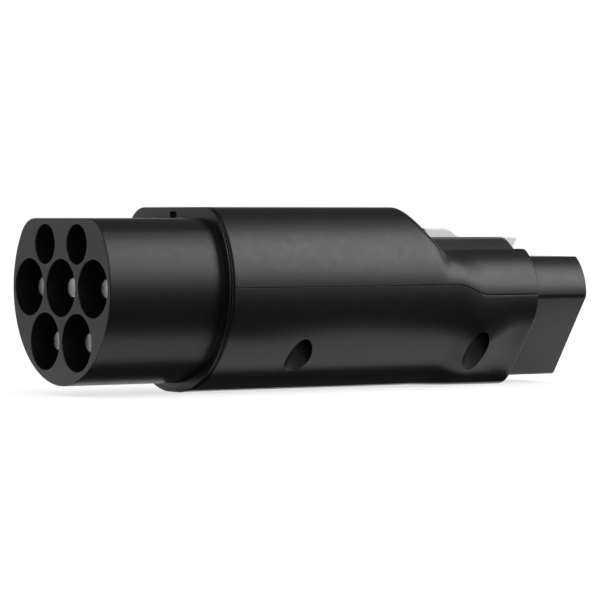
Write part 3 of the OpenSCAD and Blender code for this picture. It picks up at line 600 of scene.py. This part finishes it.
def make_upper_shell():
    """Upper shell with the deck and ledge on its neck, and the channel that the lever lies in."""
    body = shell("upper_housing", upper_half)
    deck = across("deck", deck_profile(), DECK_HALF_W)
    soften(deck, DECK_EDGE_ROUND)
    ledge = across("ledge", rectangle((LEDGE_START, POCKET_FRONT), (NECK_TOP, LEDGE_TOP)), LEDGE_HALF_W)
    soften(ledge, DECK_EDGE_ROUND)
    block_x = (POCKET_FRONT - POCKET_WALL, POCKET_BACK + POCKET_WALL)
    block_side = rectangle(block_x, (POCKET_FLOOR - POCKET_WALL, BLOCK_TOP))
    latch_block = across("latch_block", block_side, POCKET_HALF_W + BLOCK_WALL)
    for part in (deck, ledge, latch_block):
        combine(body, part, "UNION")
    pocket = across("pocket", rectangle((POCKET_FRONT, POCKET_BACK), (POCKET_FLOOR, BODY_R)), POCKET_HALF_W)
    channel = across("channel", rectangle((POCKET_FRONT, X_TIP), (CHANNEL_FLOOR, BODY_R)), POCKET_HALF_W)
    for part in (pocket, channel):
        combine(body, part, "DIFFERENCE")
    stand_for(body, "housing", "housing_plastic", housing_black, "upper_shell")


def make_lower_shell():
    """Lower shell with its four screw wells, each in a tube that stands on the skin."""
    body = shell("lower_housing", lower_half)
    for x, parting, well_x, well_side in SCREW_ROWS:
        for side in (-SCREW_SIDE, SCREW_SIDE):
            tube = upright("tube", x, side, [(-BODY_R, WELL_TUBE_R), (parting - SEAM_GAP, WELL_TUBE_R)])
            combine(tube, core((x - CORE_REACH, x + CORE_REACH), WALL / 2), "INTERSECT")
            combine(body, tube, "UNION")
            seat = parting - SCREW_FLOOR
            well_ends = [(-BODY_R - 2 * CUT_OVER, SCREW_WELL_R), (seat, SCREW_WELL_R)]
            hole_ends = [(seat - CUT_OVER, SCREW_HOLE_R), (CUT_OVER, SCREW_HOLE_R)]
            combine(body, upright("well", well_x, math.copysign(well_side, side), well_ends), "DIFFERENCE")
            combine(body, upright("hole", x, side, hole_ends), "DIFFERENCE")
    stand_for(body, "housing", "housing_plastic", housing_black, "lower_shell")


# Plug and latch


def make_plug():
    """Flat sided plug with rounded tip edges and the mouths of its sockets."""
    def ring(x, inset):
        upper = upper_half(X_NECK_END, inset, False)
        lower = lower_half(X_NECK_END, inset, False, PLUG_SECTION)
        right = list(reversed(lower)) + upper
        return placed(x, right + mirrored(right)[:-1])

    tip = [ring(X_TIP - along, PLUG_INSET + out) for along, out in rounding(PLUG_TIP_ROUND)]
    root = [ring(x, PLUG_ROOT_INSET) for x in (X_ROOT, PLUG_STEP)]
    body = loft("plug_moulding", root + [ring(x, PLUG_INSET) for x in PLUG_STATIONS] + tip)
    chamber_end = X_TIP - SOCKET_COVER
    for spot, hole_r, chamber_r in SOCKETS:
        combine(body, cutter(spot, hole_r, X_TIP, chamber_end - SOCKET_OVERLAP), "DIFFERENCE")
        chamber_ends = [(X_ROOT - CUT_OVER, chamber_r), (chamber_end, chamber_r)]
        combine(body, turned("chamber", spot, chamber_ends, 64), "DIFFERENCE")
    stand_for(body, "housing", "plug_plastic", plug_black, "plug_body")


def make_lever():
    """Latch lever: thumb pad, curved slope, arm, hook and the hub that turns on the pin."""
    pad_back = PAD_FRONT + PAD_LEN
    slope = [
        (pad_back + PAD_SLOPE * i / SLOPE_STEPS, mix(PAD_TOP, DECK_TOP, ease((0, SLOPE_STEPS), i)))
        for i in range(SLOPE_STEPS + 1)
    ]
    hook_x = LEVER_TIP - TIP_LEAN * (DECK_TOP - HOOK_BOTTOM)
    hook_foot = [(hook_x, HOOK_BOTTOM), (hook_x - HOOK_FOOT, HOOK_BOTTOM), (hook_x - HOOK_ROOT, ARM_BOTTOM)]
    pad = [(PAD_FRONT, ARM_BOTTOM), (PAD_FRONT, PAD_TOP)]
    lever = across("lever", [*pad, *slope, (LEVER_TIP, DECK_TOP), *hook_foot], LEVER_HALF_W)
    soften(lever, LEVER_EDGE_ROUND)
    neck = rectangle((HINGE_X - HINGE_NECK, HINGE_X + HINGE_NECK), (HINGE_Z, ARM_BOTTOM + CUT_OVER))
    hub = circle(HINGE_X, HINGE_Z, HUB_R, 60)
    bore = circle(HINGE_X, HINGE_Z, HINGE_R + HINGE_PLAY, 36)
    combine(lever, across("neck", neck, LEVER_HALF_W), "UNION")
    combine(lever, across("hub", hub, LEVER_HALF_W), "UNION")
    combine(lever, across("bore", bore, LEVER_HALF_W + CUT_OVER), "DIFFERENCE")
    stand_for(lever, "latch", "lever_plastic", lever_grey, "latch_lever")


def make_spring():
    """Return spring under the thumb pad, made as it stands when the pad is up."""
    foot = POCKET_FLOOR + SPRING_SEAT
    low, high = foot + SPRING_WIRE_R, ARM_BOTTOM - SPRING_SEAT - SPRING_WIRE_R
    rings, steps = [], SPRING_TURNS * SPRING_STEPS
    for i in range(steps + 1):
        turn, z = math.radians(360 / SPRING_STEPS * i), mix(low, high, i / steps)
        wire = circle(SPRING_R, z, SPRING_WIRE_R, SPRING_SIDES)
        rings.append([(SPRING_X + r * math.cos(turn), r * math.sin(turn), up) for r, up in wire])
    spring = loft("return_spring", rings)
    stand_for(spring, "housing", "spring_steel", spring_steel, "latch_spring")
    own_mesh(spring)


# Studio


def emitter(name, strength):
    """Material that glows white."""
    look = bpy.data.materials.new(name)
    look.use_nodes = True
    nodes, links = look.node_tree.nodes, look.node_tree.links
    nodes.clear()
    glow = nodes.new("ShaderNodeEmission")
    glow.inputs["Color"].default_value = (1, 1, 1, 1)
    glow.inputs["Strength"].default_value = strength
    links.new(glow.outputs[0], nodes.new("ShaderNodeOutputMaterial").inputs["Surface"])
    return look


def seen_directly(nodes, links):
    """1 for camera, glossy and transmission rays."""
    path = nodes.new("ShaderNodeLightPath")
    total = path.outputs["Is Camera Ray"]
    for ray in ("Is Glossy Ray", "Is Transmission Ray"):
        either = nodes.new("ShaderNodeMath")
        either.operation = "MAXIMUM"
        links.new(total, either.inputs[0])
        links.new(path.outputs[ray], either.inputs[1])
        total = either.outputs[0]
    return total


def make_world():
    world = bpy.data.worlds.new("studio")
    bpy.context.scene.world = world
    world.use_nodes = True
    nodes, links = world.node_tree.nodes, world.node_tree.links
    nodes.clear()
    backdrop = nodes.new("ShaderNodeBackground")
    backdrop.inputs["Color"].default_value = (1, 1, 1, 1)
    room = nodes.new("ShaderNodeBackground")
    room.inputs["Color"].default_value = (1, 1, 1, 1)
    room.inputs["Strength"].default_value = ROOM_LIGHT
    mixed = nodes.new("ShaderNodeMixShader")
    links.new(seen_directly(nodes, links), mixed.inputs[0])
    links.new(room.outputs[0], mixed.inputs[1])
    links.new(backdrop.outputs[0], mixed.inputs[2])
    links.new(mixed.outputs[0], nodes.new("ShaderNodeOutputWorld").inputs["Surface"])


def make_floor():
    """Pale floor that shows white and keeps the object's shadow."""
    ends = (-FLOOR_HALF, FLOOR_HALF)
    floor = mesh_of("floor", [(x, y, FLOOR_Z) for x, y in zip(ends * 2, sorted(ends * 2))], [(0, 1, 3, 2)])
    look = bpy.data.materials.new("floor_white")
    look.use_nodes = True
    nodes, links = look.node_tree.nodes, look.node_tree.links
    shader = nodes["Principled BSDF"]
    shader.inputs["Base Color"].default_value = (FLOOR_SHADE, FLOOR_SHADE, FLOOR_SHADE, 1)
    shader.inputs["Roughness"].default_value = 0.9
    shader.inputs["Specular IOR Level"].default_value = 0
    shader.inputs["Emission Color"].default_value = (1, 1, 1, 1)
    glow = nodes.new("ShaderNodeMath")
    glow.operation = "MULTIPLY"
    glow.inputs[1].default_value = FLOOR_GLOW
    links.new(seen_directly(nodes, links), glow.inputs[0])
    links.new(glow.outputs[0], shader.inputs["Emission Strength"])
    floor.data.materials.append(look)


def make_flag(name, points, brightness):
    """Dark or grey card that only reflections see, as a photographer sets beside a glossy object. The dark
    one under the adapter is painted shadow.
    """
    faces = [(i, i + 1, i + 3, i + 2) for i in range(0, len(points) - 2, 2)]
    flag = mesh_of(name, points, faces)
    flag.data.materials.append(emitter(name, brightness))
    flag.visible_camera = flag.visible_diffuse = flag.visible_shadow = False


def soft_light(name, aim, way, distance, size, strength):
    """Area lamp that faces a point of the adapter. Its distance and size are in metres, and strength is
    the brightness of its surface."""
    lamp = bpy.data.lights.new(name, "AREA")
    lamp.shape, lamp.size, lamp.size_y = "RECTANGLE", size[0], size[1]
    lamp.energy = strength * math.pi * size[0] * size[1]
    made = bpy.data.objects.new(name, lamp)
    bpy.context.scene.collection.objects.link(made)
    way = Vector(way).normalized()
    made.location = Vector(aim) * MM + way * distance
    made.rotation_mode = "QUATERNION"
    made.rotation_quaternion = way.to_track_quat("Z", "Y")


def lying(edges, other_edge):
    """Points of a card just above the floor, between a bent edge and a straight one."""
    return [(x, y, CARD_Z) for x, edge in edges for y in (edge, other_edge)]


def make_cards():
    """Dark cards beside and above the adapter, a dark card under it that is painted shadow on the floor as
    reflections see it, and grey ones about the nose's front.
    """
    rear_edge = ((118, -36), (134, -24), (144, -27), (156, -36), (CARD_BACK, -36))
    near_edge = ((CARD_FRONT, -33), (60, -33), (90, -40), *rear_edge)
    make_flag("near_flag", lying(near_edge, CARD_NEAR), 0.02)
    ends = (CARD_FRONT, CARD_BACK)
    rising = [(x, y, z) for y, z in ((CARD_NEAR, CARD_Z), (-1400, 90)) for x in ends]
    make_flag("rising_flag", rising, 0.02)
    # Painted shadow: a dark card under the adapter stands in for its shadow on the floor, which the evenly
    # glowing floor would not show in reflections
    far_edge = ((CARD_FRONT, -4), (30, -4), (35, 4), (X_NECK_END + 1, 4))
    make_flag("painted_shadow_flag", [(x, y, CARD_Z) for x, edge in far_edge for y in (-17, edge)], 0.05)
    high = [(x, y, z) for y, z in ((-560, 900), (450, 900), (1400, 560)) for x in ends]
    make_flag("high_flag", high, 0.15)
    for name, corners, brightness in (
        ("nose_flag", ((-620, -200), (-120, 900)), 0.8),
        ("side_flag", ((-1000, -1400), (-620, -200)), 0.15),
    ):
        make_flag(name, [(x, y, z) for x, y in corners for z in CARD_STAND], brightness)
    make_flag("front_flag", lying(((-800, 60), (-60, 60)), 1000), 0.35)


def make_studio():
    make_world()
    make_floor()
    make_cards()
    soft_light("key_light", LAMP_AIM, (0.604, -0.632, 0.478), 0.97, (0.5, 0.66), 4)
    soft_light("top_light", LAMP_AIM, (0, 0.1, 1), 1.2, (0.8, 0.8), 0.8)


def make_camera():
    camera = bpy.data.cameras.new("camera")
    camera.lens, camera.sensor_width, camera.shift_y = CAMERA_LENS, CAMERA_SENSOR, CAMERA_RISE
    camera.clip_start, camera.clip_end = 0.01, 50
    made = bpy.data.objects.new("camera", camera)
    bpy.context.scene.collection.objects.link(made)
    made.location = CAMERA_PLACE
    made.rotation_mode = "QUATERNION"
    made.rotation_quaternion = Vector(CAMERA_WAY).to_track_quat("-Z", "Y")
    bpy.context.scene.camera = made


bpy.context.scene.view_settings.view_transform = "Standard"
make_camera()
make_studio()
dress_cad_nodes()
make_inlet_body()
make_pins()
make_upper_shell()
make_lower_shell()
make_plug()
make_lever()
make_spring()
